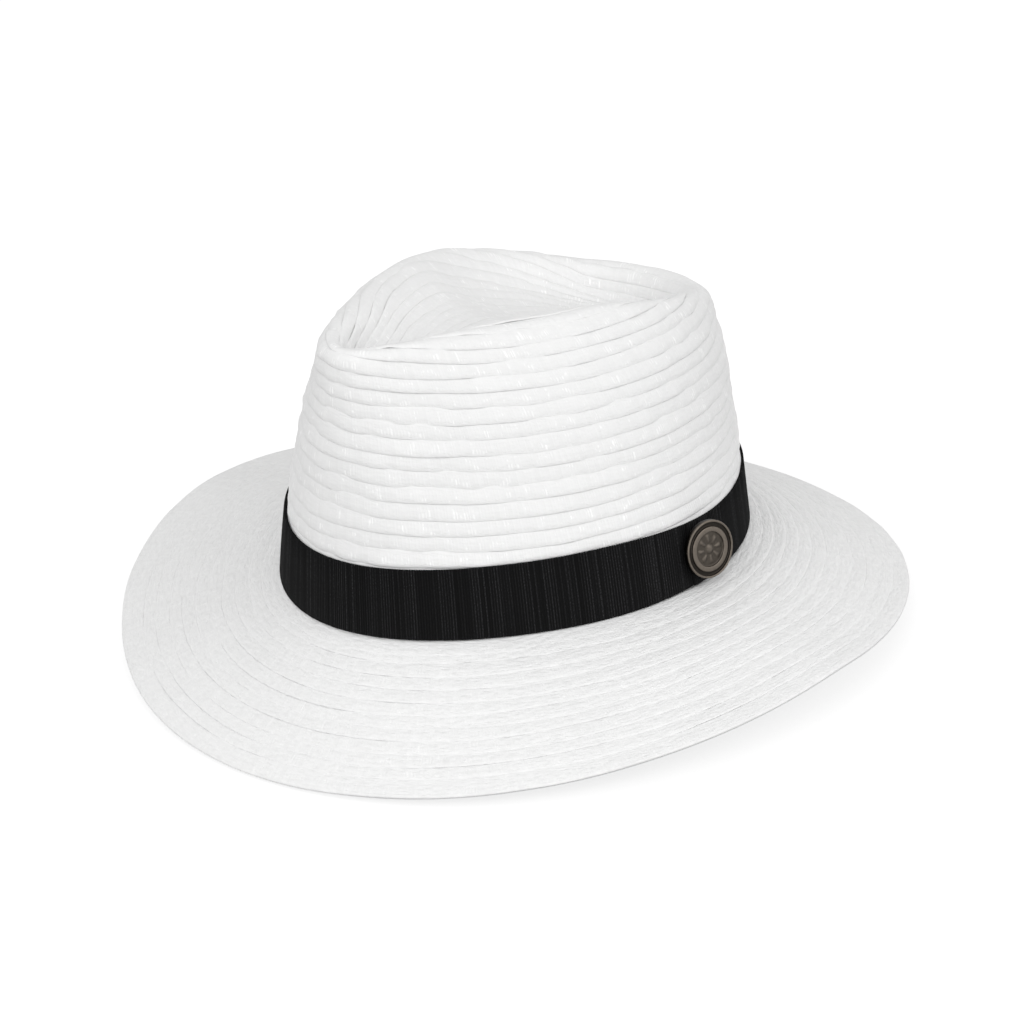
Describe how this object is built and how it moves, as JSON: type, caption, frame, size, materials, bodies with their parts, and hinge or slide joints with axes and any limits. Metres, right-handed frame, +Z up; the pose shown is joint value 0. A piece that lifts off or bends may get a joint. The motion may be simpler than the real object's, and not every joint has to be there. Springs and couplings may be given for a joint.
{
  "type": "panama hat",
  "caption": "Fedora-shaped summer hat of lapped white paper braid with a pinched dented crown, drooping brim, black grosgrain ribbon and round bronze badge.",
  "frame": {"origin": "centre of the head opening, in the plane where crown and brim join", "axes": "+Z up as the hat stands on its brim, -Y the front of the hat, +X the wearer's left, where the badge sits"},
  "size_m": [0.3202, 0.3065, 0.1418],
  "materials": {
    "white_braid": "sewn paper braid, matte with a slight glint",
    "black_grosgrain": "ribbed black grosgrain",
    "antique_bronze": "darkened bronze, worn bright on the edges",
    "prong_metal": "plain stamped metal",
    "white_sweatband": "woven cotton band"
  },
  "bodies": {
    "root": {"tip_button": "white_braid", "crown_tip": "white_braid", "side_crown": "white_braid", "brim": "white_braid", "brim_edge_course": "white_braid", "ribbon": "black_grosgrain", "ribbon_join": "black_grosgrain", "badge": "antique_bronze", "badge_prong_front": "prong_metal", "badge_prong_back": "prong_metal", "sweatband": "white_sweatband", "sweatband_reed": "white_sweatband", "sweatband_seam_tape": "white_sweatband"}
  },
  "joints": []
}
